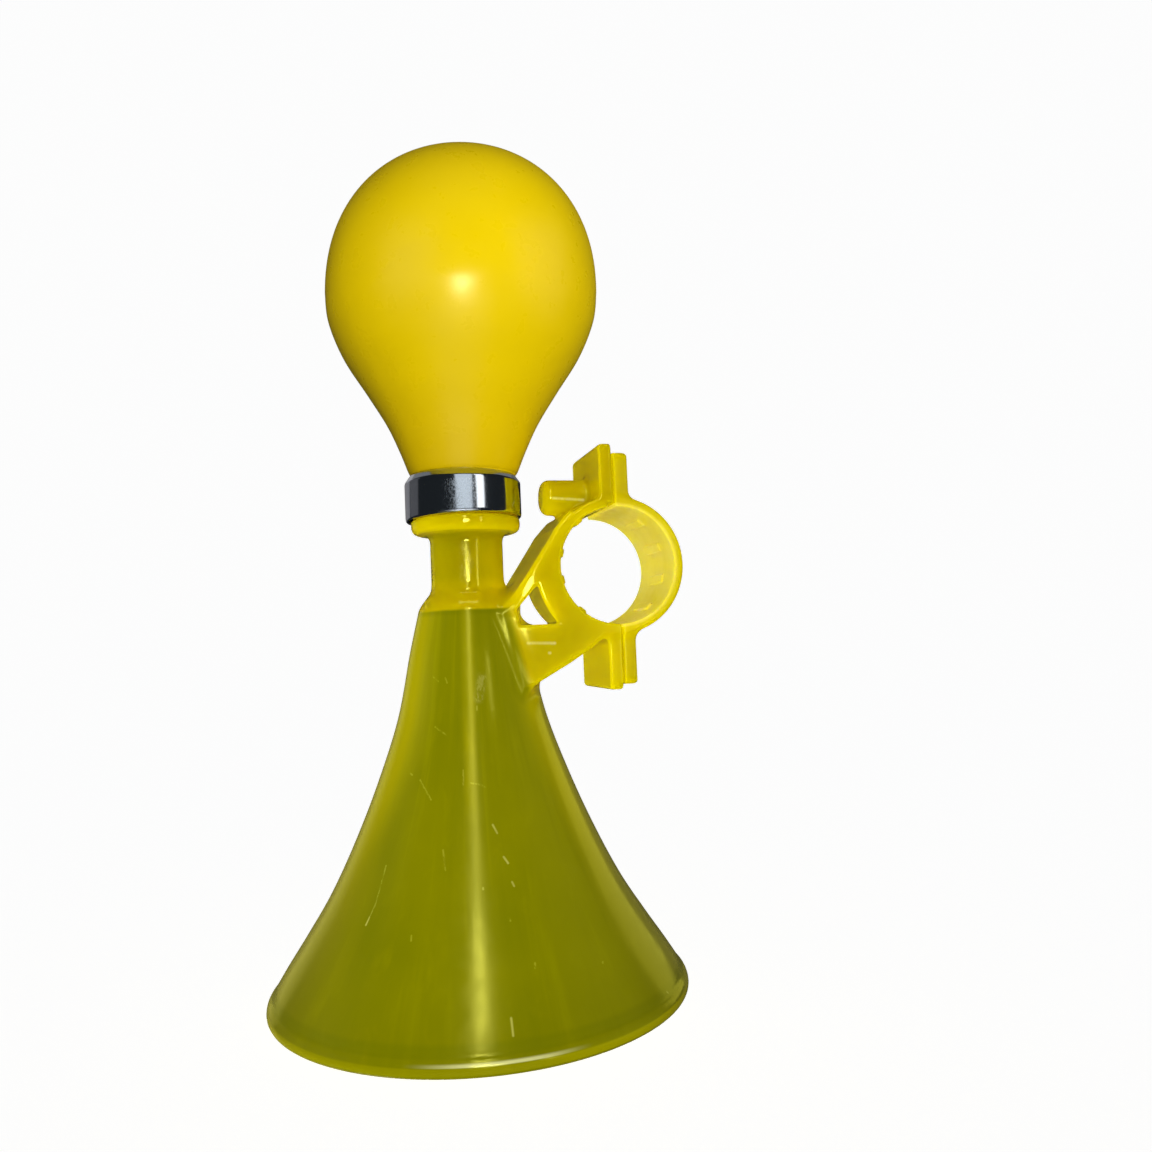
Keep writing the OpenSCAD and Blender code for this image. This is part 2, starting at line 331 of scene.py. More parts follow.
def half_field(x, y, z):
    hr = np.hypot(x - RING_X, z - RING_Z)
    ay = np.abs(y)
    top = plate(x, z, 29, 34.2, 96, 114.0, 1.2)
    top = smax(top, smax(ay - HALF_W, z - 114.0, 2.4), 0.3)
    low = plate(x, z, 29, 34.4, 63.4, 80, 0.85)
    low = smax(low, smax(ay - HALF_W, 63.4 - z, 1.8), 0.3)
    flat = smin(hr - RING_R, top, 1.8)
    flat = smin(flat, low, 2.2)
    body = rounded(flat, ay - HALF_W, 0.85)
    body = smax(body, BORE_R - hr, 0.35)
    body = smin(body, ribs(x, y, z, (52, 20, -13, -46), -5.2, 4.6, 0.5), 0.3)
    split = np.where(z > RING_Z - 8, 31.0 - x, 31.6 - x)
    body = smax(body, split, 0.4)
    body = smin(body, box3(x, y, z, (31.0, 0, 68.1), (1.1, 7.9, 1.0), 0.2), 0.15)
    body = smax(body, 1.8 - np.hypot(y, z - SCREW_Z), 0.2)
    seat = smax(np.hypot(y, z - SCREW_Z) - 3.05, 34.2 - x, 0.1)
    return smax(body, -seat, 0.25)


def screw_field(x, y, z):
    z = z - SCREW_Z
    r = np.hypot(y, z)
    turn = np.arctan2(z, y) / (2 * math.pi)
    wave = np.abs(((x / 1.4 - turn) % 1.0) - 0.5) * 2
    core = np.interp(x, [19.5, 21.3, 30, 33.2, 34.2], [0.25, 1.1, 1.1, 1.15, 1.45])
    crest = np.interp(x, [19.5, 20.2, 21.6, 31.6, 32.6], [0.0, 0.1, 0.38, 0.38, 0.0])
    shank = smax(r - core - crest * np.clip(1.35 - wave * 1.6, 0, 1), np.abs(x - 26.9) - 7.4, 0.15)
    # pan head, its underside flat on the ear
    head = rounded(r - 2.8 + 0.10 * np.maximum(x - 34.2, 0) ** 2 * 0.6, np.abs(x - 35.25) - 1.05, 0.55)
    d = smin(shank * 0.8, head, 0.2)
    depth = 35.0
    arm = lambda a, b: np.maximum(np.maximum(np.abs(a) - 0.36 - 0.06 * np.maximum(x - depth, 0), np.abs(b) - 1.55 - 0.15 * np.maximum(x - depth, 0)), depth - x)
    return smax(d, -smin(arm(y, z), arm(z, y), 0.15), 0.08)


step = 0.42
points, quads, normals = surface(horn_field, (-45.37, -45.21, -1.13), (45.3, 45.4, 117.2), step)
centres = points[quads].mean(1)
cr = np.hypot(centres[:, 0], centres[:, 1])
is_hollow = (np.abs(inner_t(cr, centres[:, 2])) < 0.35) & (centres[:, 2] < 81.8)
horn = make_object("horn_moulding", points, quads, normals)
# 1 where the bracket makes the plastic thick, 0 on the thin wall of the bell
near_arm = np.clip(1 - (bracket_field(*points.T) - 0.2) / 2.6, 0, 1)
near_arm *= np.clip((points[:, 0] - 5.9 - 0.22 * np.maximum(81 - points[:, 2], 0)) / 1.8, 0, 1)
thick = (near_arm * near_arm * (3 - 2 * near_arm)).astype(np.float32)
horn.data.attributes.new("thickness", "FLOAT", "POINT").data.foreach_set("value", thick)

points, quads, normals = surface(half_field, (28.6, -12.7, 60.8), (47, 12.7, 116), 0.3)
clamp_half = make_object("clamp_loose_half", points, quads, normals)

points, quads, normals = surface(screw_field, (18.6, -3.2, SCREW_Z - 3.2), (37, 3.2, SCREW_Z + 3.2), 0.1)
screw = make_object("clamp_screw_threaded", points, quads, normals)

# ---------------------------------------------------------------------------
# bulb and band
# ---------------------------------------------------------------------------
LEAN = 0.0295      # the rubber leans a little on its neck


def lean(z):
    d = LEAN * max(z - 112.0, 0.0)
    return d * 0.969, -d * 0.246


side = catmull(BULB_SIDE, 10)
dome = [(BULB_R * math.cos(math.pi / 2 * i / 44) ** 0.91, BULB_MID + BULB_DOME * math.sin(math.pi / 2 * i / 44) ** 0.91) for i in range(1, 44)]
wall = 2.4
skin = side + dome + [(0, BULB_MID + BULB_DOME)]
within = [(max(r - wall, 0), z) for r, z in catmull([(12.0, 114), (13.9, 117.2), (16.9, 123), (21.2, 130), (26.1, 137.8), (29.1, 145), (29.9, 150.5)], 6)]
within += [((BULB_R - wall) * math.cos(math.pi / 2 * i / 24) ** 0.91, BULB_MID + (BULB_DOME - wall) * math.sin(math.pi / 2 * i / 24) ** 0.91) for i in range(1, 24)]
within += [(0, BULB_MID + BULB_DOME - wall)]
neck = [(8.15, 112.2), (8.1, 111.6), (8.1, 101.4), (8.3, 101.15), (11.3, 101.15), (11.55, 101.4), (11.6, 107.8), (11.5, 108.9), (11.3, 109.6), (11.3, 110.1)]
bulb = lathe("rubber_bulb", within[::-1] + neck + skin, 224, closed=False, shift=lean)

# the plated band is pressed on by hand: its lower edge is not quite level, and it sits a little to one side
band_profile = [(12.08, 101.3, 0), (12.1, 100.98, 0), (12.2, 100.82, 0), (12.33, 100.78, 0), (12.47, 100.84, 0), (12.59, 100.98, 0), (12.67, 101.22, 0), (12.7, 101.6, 0),
                (12.7, 105.0, 0.5), (12.7, 108.25, 1), (12.66, 108.5, 1), (12.56, 108.72, 1), (12.38, 108.98, 1), (11.95, 109.62, 1), (11.66, 110.02, 1),
                (11.52, 110.16, 1), (11.38, 110.14, 1), (11.3, 110.0, 1), (11.34, 109.7, 1), (11.98, 108.6, 1), (12.05, 105.0, 0.5)]


def make_band():
    n = 256
    pts, faces = [], []
    for r, z, top in band_profile:
        for k in range(n):
            a = 2 * math.pi * k / n
            ux, uy = math.cos(a), math.sin(a)
            front = -uy * 0.99 - ux * 0.135
            right = ux * 0.99 - uy * 0.135
            dz = top * (0.1 + 0.25 * front - 0.12 * right) + (1 - top) * (-0.1 + 0.35 * front + 0.25 * right)
            pts.append((r * ux - 0.35 * 0.969, r * uy + 0.35 * 0.246, z + dz))
    m = len(band_profile)
    for i in range(m):
        j = (i + 1) % m
        for k in range(n):
            q = (k + 1) % n
            faces.append((i * n + k, i * n + q, j * n + q, j * n + k))
    return make_object("chrome_band", pts, faces)


band = make_band()

# ---------------------------------------------------------------------------
# materials
# ---------------------------------------------------------------------------
class Tree:
    def __init__(self, name):
        self.mat = bpy.data.materials.new(name)
        self.mat.use_nodes = True
        self.t = self.mat.node_tree
        self.t.nodes.clear()
        self.out = self.t.nodes.new("ShaderNodeOutputMaterial")
        self.co = self.t.nodes.new("ShaderNodeTexCoord").outputs["Object"]

    def node(self, kind, **props):
        n = self.t.nodes.new(kind)
        for k, v in props.items():
            setattr(n, k, v)
        return n

    def put(self, socket, value):
        if isinstance(value, bpy.types.NodeSocket):
            self.t.links.new(value, socket)
        elif value is not None:
            if isinstance(value, (tuple, list)) and len(value) == 3 and socket.type == "RGBA":
                value = (*value, 1)
            socket.default_value = value

    def scaled(self, sx, sy=None, sz=None, rot=(0, 0, 0), loc=(0, 0, 0)):
        """Object coordinates, in cells per metre."""
        m = self.node("ShaderNodeMapping")
        self.put(m.inputs["Vector"], self.co)
        m.inputs["Scale"].default_value = (sx, sy or sx, sz or sx)
        m.inputs["Rotation"].default_value = rot
        m.inputs["Location"].default_value = loc
        return m.outputs[0]

    def noise(self, vec, scale=1.0, detail=3.0, rough=0.55, distortion=0.0):
        n = self.node("ShaderNodeTexNoise")
        self.put(n.inputs["Vector"], vec)
        n.inputs["Scale"].default_value = scale
        n.inputs["Detail"].default_value = detail
        n.inputs["Roughness"].default_value = rough
        n.inputs["Distortion"].default_value = distortion
        return n.outputs["Fac"]

    def voronoi(self, vec, scale=1.0, feature="DISTANCE_TO_EDGE"):
        n = self.node("ShaderNodeTexVoronoi", feature=feature)
        self.put(n.inputs["Vector"], vec)
        n.inputs["Scale"].default_value = scale
        return n.outputs["Distance"]

    def ramp(self, fac, a, b, lo=0.0, hi=1.0, smooth=True):
        n = self.node("ShaderNodeMapRange", interpolation_type="SMOOTHSTEP" if smooth else "LINEAR")
        self.put(n.inputs["Value"], fac)
        n.inputs["From Min"].default_value = a
        n.inputs["From Max"].default_value = b
        n.inputs["To Min"].default_value = lo
        n.inputs["To Max"].default_value = hi
        return n.outputs["Result"]

    def math(self, op, a, b=0.0):
        n = self.node("ShaderNodeMath", operation=op)
        self.put(n.inputs[0], a)
        self.put(n.inputs[1], b)
        return n.outputs[0]

    def mix(self, fac, a, b, blend="MIX"):
        n = self.node("ShaderNodeMix", data_type="RGBA", blend_type=blend)
        self.put(n.inputs["Factor"], fac)
        self.put(n.inputs["A"], a)
        self.put(n.inputs["B"], b)
        return n.outputs["Result"]

    def xyz(self):
        n = self.node("ShaderNodeSeparateXYZ")
        self.put(n.inputs[0], self.co)
        return n.outputs[0], n.outputs[1], n.outputs[2]

    def bump(self, height, strength, distance, normal=None):
        n = self.node("ShaderNodeBump")
        self.put(n.inputs["Height"], height)
        n.inputs["Strength"].default_value = strength
        n.inputs["Distance"].default_value = distance
        if normal is not None:
            self.put(n.inputs["Normal"], normal)
        return n.outputs[0]

    def principled(self, **values):
        n = self.node("ShaderNodeBsdfPrincipled")
        for k, v in values.items():
            self.put(n.inputs[k.replace("_", " ")], v)
        self.t.links.new(n.outputs[0], self.out.inputs["Surface"])
        return n

    def scratches(self, length, width, spacing, seed, angles, amount=0.5):
        """Short straight scratches, 1 on one and 0 off it. Sizes are in metres."""
        lines = None
        for k, (ax, ay, az) in enumerate(angles):
            v = self.scaled(1 / spacing, 1 / spacing, 0.5 * width / (spacing * 0.5 * length), rot=(ax, ay, az), loc=(seed + 3.1 * k, seed * 1.7, 2.3 * k))
            one = self.ramp(self.voronoi(v, 1.0, "F1"), 0.0, width / spacing, 1.0, 0.0)
            lines = one if lines is None else self.math("MAXIMUM", lines, one)
        keep = self.ramp(self.noise(self.scaled(0.35 / spacing, loc=(seed, 1, 1)), 1.0, 1.0), 0.68 - amount * 0.2, 0.74 - amount * 0.2)
        return self.math("MULTIPLY", lines, keep)

    def marks(self, pairs, width, soft=0.6):
        """Scuffs, nicks and painted highlights where the photo has them: 1 on the line between each pair of points, 0 a
        little way off it. Millimetres.
        """
        best = None
        for a, b in pairs:
            a, b = Vector(a) * MM, Vector(b) * MM
            ab = b - a
            sub = self.node("ShaderNodeVectorMath", operation="SUBTRACT")
            self.put(sub.inputs[0], self.co)
            sub.inputs[1].default_value = a
            dot = self.node("ShaderNodeVectorMath", operation="DOT_PRODUCT")
            self.put(dot.inputs[0], sub.outputs[0])
            dot.inputs[1].default_value = ab / max(ab.length_squared, 1e-12)
            along = self.ramp(dot.outputs["Value"], 0.0, 1.0, 0.0, 1.0, smooth=False)
            part = self.node("ShaderNodeVectorMath", operation="SCALE")
            part.inputs[0].default_value = ab
            self.put(part.inputs["Scale"], along)
            off = self.node("ShaderNodeVectorMath", operation="DISTANCE")
            self.put(off.inputs[0], sub.outputs[0])
            self.put(off.inputs[1], part.outputs[0])
            d = off.outputs["Value"]
            best = d if best is None else self.math("MINIMUM", best, d)
        return self.ramp(best, width * MM * (1 - soft), width * MM, 1.0, 0.0)

    def facing(self):
        n = self.node("ShaderNodeLayerWeight")
        n.inputs["Blend"].default_value = 0.5
        return n.outputs["Facing"]


BELL_SCUFFS = [((-9.3, -10.5, 67.1), (-8.4, -11.5, 66.2)), ((-7.0, -12.2, 66.8), (-6.7, -12.6, 65.8)), ((-1.1, -15.3, 60.9), (-1.2, -15.5, 60.2)),
               ((-9.5, -13.3, 57.1), (-7.5, -15.1, 55.5)), ((-13.0, -15.0, 47.0), (-11.2, -17.9, 43.4)), ((-14.7, -12.6, 48.2), (-14.4, -13.2, 47.9)),
               ((-3.5, -19.8, 46.3), (-2.0, -20.1, 46.0)), ((-2.0, -20.1, 46.0), (-0.8, -20.4, 45.4)), ((-4.8, -18.6, 48.8), (-5.0, -19.6, 46.0)),
               ((-20.2, -16.9, 31.3), (-22.6, -19.2, 24.7)), ((-22.6, -19.2, 24.7), (-24.4, -19.8, 21.3)), ((-16.5, -27.3, 20.5), (-16.6, -27.8, 19.7)),
               ((1.4, -30.7, 22.5), (1.4, -30.9, 22.1)), ((5.0, -34.8, 15.3), (4.9, -35.3, 14.6)), ((-9.6, -24.6, 31.1), (-9.7, -22.9, 34.5)),
               ((18.6, -31.7, 12.9), (18.5, -31.8, 12.8)), ((14.0, 22.0, 36.0), (10.5, 26.0, 31.0)), ((-21.0, 24.0, 19.0), (-23.5, 22.0, 18.0)),
               ((34.0, 6.0, 15.0), (34.2, 3.0, 14.0))]
BELL_NICKS = [((0.0, -23.2, 38.5), (0.7, -23.9, 37.0)), ((1.5, -25.6, 32.7), (2.2, -26.1, 31.6)), ((2.6, -27.7, 28.4), (2.9, -28.0, 27.7)),
              ((-3.0, -27.9, 27.9), (-3.0, -28.0, 27.7)), ((-0.6, -39.9, 8.1), (-0.6, -41.4, 5.7)), ((32.4, -27.4, 4.2), (32.7, -27.0, 3.6)),
              ((-23.8, -19.6, 22.6), (-24.4, -19.8, 21.3)), ((8.0, 33.0, 18.0), (8.6, 33.6, 16.8))]
# rubbed patches on the bell's front and the neck: rougher, and painted paler as painted highlight where the light's
# streak falls
RUBBED_AND_GLINT = [((0.3, -14.2, 66.5), (-0.6, -15.0, 62.5)), ((-1.6, -7.7, 94.3), (-1.5, -7.7, 92.1)),
          ((-1.0, -7.8, 92.1), (-1.7, -7.7, 90.0)), ((-1.3, -7.8, 89.6), (-1.8, -7.7, 87.5)), ((-0.7, -7.9, 91.3), (-1.4, -7.8, 88.5))]


def plastic_colours(t):
    """Cloudy yellow of the moulding, and streaks of flow that run up and down it."""
    cloud = t.noise(t.scaled(38), 1.0, 3.0, 0.5)
    flow = t.noise(t.scaled(260, 260, 30), 1.0, 3.0, 0.55, 0.4)
    return cloud, flow


# painted highlights: pale glint lines where ridges of the mould on the bracket and its boss catch the light
GLINT_LINES = [((19.1, -4.0, 104.9), (25.9, -3.9, 104.5)), ((10.6, -11.9, 73.2), (16.3, -12.0, 72.9)), ((15.0, -12.0, 70.9), (15.2, -12.0, 70.9)), ((9.9, -11.6, 65.1), (10.1, -11.6, 65.1))]


def moulding_material():
    t = Tree("moulded_yellow_plastic")
    x, y, z = t.xyz()
    cloud, flow = plastic_colours(t)
    solid = t.mix(t.ramp(cloud, 0.3, 0.7), (0.405, 0.335, 0.0), (0.38, 0.312, 0.0))
    bell = t.mix(t.ramp(cloud, 0.3, 0.7), (0.156, 0.153, 0.0), (0.127, 0.130, 0.0))
    # painted light: the bell made lighter towards its right side
    bell = t.mix(t.ramp(x, -0.012, 0.030, 0.0, 0.5), bell, (0.212, 0.204, 0.0))
    bell = t.mix(t.ramp(flow, 0.5, 0.85, 0.0, 0.25), bell, (0.24, 0.222, 0.0))
    # faint streaks that run down the bell from the neck
    axial = t.math("SQRT", t.math("ADD", t.math("MULTIPLY", x, x), t.math("MULTIPLY", y, y)))
    around = t.node("ShaderNodeCombineXYZ")
    t.put(around.inputs[0], t.math("MULTIPLY", t.math("DIVIDE", x, axial), 5.0))
    t.put(around.inputs[1], t.math("MULTIPLY", t.math("DIVIDE", y, axial), 5.0))
    t.put(around.inputs[2], t.math("MULTIPLY", z, 16.0))
    streak = t.noise(around.outputs[0], 1.0, 4.0, 0.6, 0.3)
    bell = t.mix(t.ramp(streak, 0.50, 0.70, 0.0, 0.32), bell, (0.245, 0.232, 0.0))
    bell = t.mix(t.ramp(streak, 0.30, 0.48, 0.30, 0.0), bell, (0.105, 0.113, 0.0))
    # seen edge-on, the bell's wall is solid plastic all the way
    facing = t.facing()
    rim = t.ramp(t.math("SUBTRACT", facing, t.ramp(z, 0.030, 0.060, 0.16, 0.0)), 0.14, 0.50)
    bell = t.mix(rim, bell, t.mix(t.ramp(z, 0.010, 0.050), (0.150, 0.142, 0.004), (0.262, 0.232, 0.0)))
    # painted shade: the bell darker towards its mouth
    bell = t.mix(t.ramp(z, 0.004, 0.016, 0.35, 0.0), bell, (0.095, 0.097, 0.0))
    # painted shade: a dark line across the shoulder, where the hollow's end shows through the wall
    shoulder = t.ramp(z, 0.08045, 0.08105)
    under = t.math("MULTIPLY", t.ramp(z, 0.0792, 0.0803), t.ramp(z, 0.0803, 0.0808, 1.0, 0.0))
    bell = t.mix(t.math("MULTIPLY", under, 0.35), bell, (0.100, 0.108, 0.0))
    solidness = t.math("MAXIMUM", t.node("ShaderNodeAttribute", attribute_name="thickness").outputs["Fac"], shoulder)
    colour = t.mix(solidness, bell, solid)
    # painted highlight: a yellow line of light down the front of the hollow's narrow part
    off = t.math("ABSOLUTE", t.math("SUBTRACT", x, t.math("MULTIPLY", y, 0.18)))
    line = t.math("MULTIPLY", t.ramp(off, 0.0003, 0.0019, 1.0, 0.0), t.ramp(y, -0.006, -0.003, 1.0, 0.0))
    line = t.math("MULTIPLY", t.math("MULTIPLY", line, t.ramp(z, 0.030, 0.056)), t.math("SUBTRACT", 1.0, solidness))
    colour = t.mix(t.math("MULTIPLY", line, t.ramp(flow, 0.3, 0.7, 0.38, 0.62)), colour, (0.300, 0.268, 0.0))
    # scuffs and nicks from handling, and rubbed patches that are also painted paler as painted highlight
    fine = t.noise(t.scaled(1500, 1500, 700), 1.0, 3.0, 0.7)
    scuff = t.math("MULTIPLY", t.marks(BELL_SCUFFS, 0.32, 0.9), t.ramp(fine, 0.40, 0.62, 0.25, 1.0))
    nick = t.marks(BELL_NICKS, 0.34, 0.9)
    rubbed = t.math("MULTIPLY", t.marks(RUBBED_AND_GLINT, 1.6, 1.0), t.ramp(fine, 0.30, 0.75))
    # the neck is a thin tube, darker than the solid bracket
    tube = t.math("MULTIPLY", t.ramp(axial, 0.0084, 0.0098, 1.0, 0.0), t.ramp(z, 0.0835, 0.0885))
    colour = t.mix(tube, colour, (0.222, 0.190, 0.0))
    # painted shade: darker where the neck meets the shoulder, and on the moulding from just under the flange upwards
    neck_foot_painted_shade = t.math("MULTIPLY", t.ramp(axial, 0.0112, 0.0124, 0.45, 0.0), t.math("MULTIPLY", shoulder, t.ramp(z, 0.0835, 0.0875, 1.0, 0.0)))
    top_painted_shade = t.math("MAXIMUM", t.ramp(z, 0.0985, 0.1040, 0.0, 0.55), t.math("MULTIPLY", t.ramp(z, 0.0945, 0.0960, 0.0, 0.30), t.ramp(axial, 0.0122, 0.0130, 1.0, 0.0)))
    colour = t.mix(t.math("MAXIMUM", neck_foot_painted_shade, top_painted_shade), colour, (0.230, 0.185, 0.0))
    colour = t.mix(t.math("MULTIPLY", scuff, 0.22), colour, (0.50, 0.47, 0.04))
    colour = t.mix(t.math("MULTIPLY", nick, 0.50), colour, (0.52, 0.50, 0.10))
    # painted highlight: the rubbed patches made paler
    colour = t.mix(t.math("MULTIPLY", rubbed, 0.18), colour, (0.50, 0.46, 0.16))
    # painted highlights: pale glint lines on the bracket and boss
    painted_glint = t.math("MULTIPLY", t.marks(GLINT_LINES, 0.50, 0.95), t.ramp(fine, 0.25, 0.6, 0.6, 1.0))
    colour = t.mix(t.math("MULTIPLY", painted_glint, 0.40), colour, (0.74, 0.68, 0.26))
    # painted sheen: the wall's very edge made lighter, where it lets the most light through
    colour = t.mix(t.math("MULTIPLY", t.ramp(facing, 0.62, 0.86, 0.0, 0.65), t.math("SUBTRACT", 1.0, solidness)), colour, (0.37, 0.335, 0.05))
    # bands along the lip: painted shade in the groove above the thick bead, the bead painted lighter towards its right
    # side, a browner line along the very bottom edge, and a painted highlight on the bead's shoulder
    lip_groove_painted_shade = t.math("MULTIPLY", t.ramp(z, 0.0030, 0.0035), t.ramp(z, 0.0046, 0.0056, 1.0, 0.0))
    bead = t.math("MULTIPLY", t.ramp(z, 0.0005, 0.0009), t.ramp(z, 0.0018, 0.0022, 1.0, 0.0))
    lip_painted_highlight = t.math("MULTIPLY", t.math("MULTIPLY", t.ramp(z, 0.0020, 0.0022), t.ramp(z, 0.0024, 0.0028, 1.0, 0.0)), t.ramp(y, -0.030, -0.020, 1.0, 0.0))
    lip_painted_highlight = t.math("MULTIPLY", lip_painted_highlight, t.ramp(t.math("ABSOLUTE", t.math("ADD", x, 0.003)), 0.004, 0.017, 1.0, 0.0))
    colour = t.mix(t.math("MULTIPLY", lip_groove_painted_shade, 0.38), colour, (0.092, 0.101, 0.0))
    colour = t.mix(t.math("MULTIPLY", bead, t.ramp(x, -0.010, 0.024, 0.38, 0.72)), colour, (0.272, 0.246, 0.0))
    colour = t.mix(t.ramp(z, 0.0001, 0.0005, 0.5, 0.0), colour, (0.150, 0.115, 0.0))
    colour = t.mix(t.math("MULTIPLY", lip_painted_highlight, 0.8), colour, (0.56, 0.55, 0.24))
    smooth = t.ramp(t.noise(t.scaled(420), 1.0, 3.0), 0.3, 0.8, 0.15, 0.22)
    smooth = t.math("SUBTRACT", smooth, t.math("MULTIPLY", t.ramp(z, 0.079, 0.084), 0.09))
    rough = t.math("ADD", smooth, t.math("MULTIPLY", t.math("MAXIMUM", scuff, rubbed), 0.28))
    wavy = t.noise(t.scaled(90, 90, 30), 1.0, 2.0)
    b = t.bump(wavy, 0.10, 0.0005)
    b = t.bump(t.math("MAXIMUM", scuff, nick), -0.25, 0.00004, b)
    alpha = t.math("MAXIMUM", solidness, t.ramp(facing, 0.10, 0.50, 0.86, 1.0))
    p = t.principled(Base_Color=colour, Roughness=rough, Normal=b, Alpha=alpha)
    t.put(p.inputs["Subsurface Weight"], solidness)
    p.inputs["IOR"].default_value = 1.5
    p.inputs["Specular IOR Level"].default_value = 0.5
    p.inputs["Specular Tint"].default_value = (1.0, 0.97, 0.16, 1)
    p.inputs["Subsurface Radius"].default_value = (1.0, 0.85, 0.03)
    p.inputs["Subsurface Scale"].default_value = 0.014
    return t.mat


def hollow_material():
    t = Tree("bell_hollow_plastic")
    cloud, flow = plastic_colours(t)
    colour = t.mix(t.ramp(cloud, 0.3, 0.7), (0.20, 0.20, 0.0), (0.165, 0.17, 0.0))
    colour = t.mix(t.ramp(flow, 0.45, 0.8), colour, (0.24, 0.23, 0.0))
    rough = t.ramp(t.noise(t.scaled(420), 1.0, 2.0), 0.3, 0.8, 0.20, 0.30)
    p = t.principled(Base_Color=colour, Roughness=rough, Normal=t.bump(t.noise(t.scaled(160), 1.0, 1.0), 0.15, 0.0003))
    p.inputs["IOR"].default_value = 1.5
    p.inputs["Specular IOR Level"].default_value = 0.5
    p.inputs["Specular Tint"].default_value = (1.0, 0.95, 0.02, 1)
    return t.mat


def clamp_material():
    t = Tree("clamp_yellow_plastic")
    cloud, flow = plastic_colours(t)
    colour = t.mix(t.ramp(cloud, 0.3, 0.7), (0.405, 0.335, 0.0), (0.38, 0.312, 0.0))
    x, y, z = t.xyz()
    # painted light: the bore's wall made pale, and a little rougher
    dx, dz = t.math("SUBTRACT", x, RING_X * MM), t.math("SUBTRACT", z, RING_Z * MM)
    from_bore = t.math("SQRT", t.math("ADD", t.math("MULTIPLY", dx, dx), t.math("MULTIPLY", dz, dz)))
    bore_painted_light = t.ramp(from_bore, 0.0131, 0.0137, 1.0, 0.0)
    colour = t.mix(t.math("MULTIPLY", bore_painted_light, t.ramp(flow, 0.3, 0.7, 0.5, 0.75)), colour, (0.52, 0.43, 0.08))
    # painted shade: the clamp half darker towards its top and bottom ends
    ends_painted_shade = t.math("MAXIMUM", t.ramp(z, 0.1000, 0.1050, 0.0, 0.38), t.ramp(z, 0.0700, 0.0765, 0.42, 0.0))
    colour = t.mix(ends_painted_shade, colour, (0.250, 0.198, 0.0))
    grain = t.noise(t.scaled(420), 1.0, 4.0)
    rough = t.math("ADD", t.ramp(grain, 0.3, 0.8, 0.17, 0.28), t.math("MULTIPLY", bore_painted_light, 0.12))
    b = t.bump(t.noise(t.scaled(110), 1.0, 2.0), 0.15, 0.0005)
    p = t.principled(Base_Color=colour, Roughness=rough, Normal=b)
    p.inputs["IOR"].default_value = 1.5
    p.inputs["Specular IOR Level"].default_value = 0.3
    p.inputs["Specular Tint"].default_value = (1.0, 0.96, 0.22, 1)
    p.inputs["Subsurface Weight"].default_value = 1.0
    p.inputs["Subsurface Radius"].default_value = (1.0, 0.85, 0.03)
    p.inputs["Subsurface Scale"].default_value = 0.014
    return t.mat


def rubber_material():
    t = Tree("bulb_yellow_rubber")
    x, y, z = t.xyz()
    cloud = t.noise(t.scaled(24), 1.0, 3.0, 0.5)
    colour = t.mix(t.ramp(cloud, 0.3, 0.7), (0.83, 0.595, 0.0), (0.77, 0.545, 0.0))
    speck = t.ramp(t.noise(t.scaled(1300), 1.0, 2.0), 0.70, 0.80)
    colour = t.mix(t.math("MULTIPLY", speck, 0.05), colour, (0.50, 0.34, 0.01))
    # painted shade: the rubber darker towards the band
    colour = t.mix(t.ramp(z, 0.109, 0.134, 0.62, 0.0), colour, (0.57, 0.37, 0.0))
    rough = t.ramp(t.noise(t.scaled(300), 1.0, 3.0), 0.3, 0.8, 0.27, 0.34)
    b = t.bump(t.noise(t.scaled(45), 1.0, 1.0), 0.12, 0.0005)
    b = t.bump(t.noise(t.scaled(1500), 1.0, 1.0), 0.08, 0.00006, b)
    p = t.principled(Base_Color=colour, Roughness=rough, Normal=b)
    p.inputs["IOR"].default_value = 1.5
    p.inputs["Specular Tint"].default_value = (1.0, 0.97, 0.48, 1)
    return t.mat


def chrome_material():
    t = Tree("band_bright_plating")
    lines = t.scratches(0.0028, 0.00008, 0.0009, 5.0, ((1.3, 0.2, 0), (0.5, 0.7, 0.4)), 0.5)
    x, y, z = t.xyz()
    haze = t.noise(t.scaled(3600, 3600, 1900), 1.0, 2.0, 0.7)
    patch = t.noise(t.scaled(240, 240, 120), 1.0, 2.0)
    # the front is rubbed more than the rest
    across = t.math("ABSOLUTE", t.math("SUBTRACT", t.math("MULTIPLY", x, 0.969), t.math("MULTIPLY", y, 0.246)))
    front = t.math("MULTIPLY", t.ramp(across, 0.0010, 0.0048, 1.0, 0.25), t.ramp(y, -0.004, 0.004, 1.0, 0.4))
    rubbed = t.math("MULTIPLY", t.ramp(haze, 0.34, 0.66), t.math("MULTIPLY", front, t.ramp(patch, 0.20, 0.60, 0.3, 1.0)))
    rubbed = t.math("MULTIPLY", rubbed, t.ramp(z, 0.1078, 0.1083, 1.0, 0.2))
    low = t.math("MULTIPLY", t.ramp(z, 0.1011, 0.1021, 1.0, 0.0), t.math("MULTIPLY", t.ramp(across, 0.0034, 0.0058, 1.0, 0.0), t.ramp(y, -0.004, 0.004, 1.0, 0.0)))
    rubbed = t.math("MAXIMUM", rubbed, low)
    colour = t.mix(rubbed, (0.58, 0.63, 0.70), (0.80, 0.87, 0.94))
    # painted reflection: the plating made dark on the side that faces the bracket
    colour = t.mix(t.ramp(x, 0.0088, 0.0096, 0.0, 0.62), colour, (0.16, 0.16, 0.13))
    rough = t.math("MAXIMUM", t.ramp(rubbed, 0, 1, 0.11, 0.36), t.math("MULTIPLY", lines, 0.22))
    b = t.bump(t.noise(t.scaled(200, 200, 90), 1.0, 1.0), 0.04, 0.00006)
    p = t.principled(Base_Color=colour, Roughness=rough, Normal=b)
    p.inputs["Metallic"].default_value = 1.0
    return t.mat


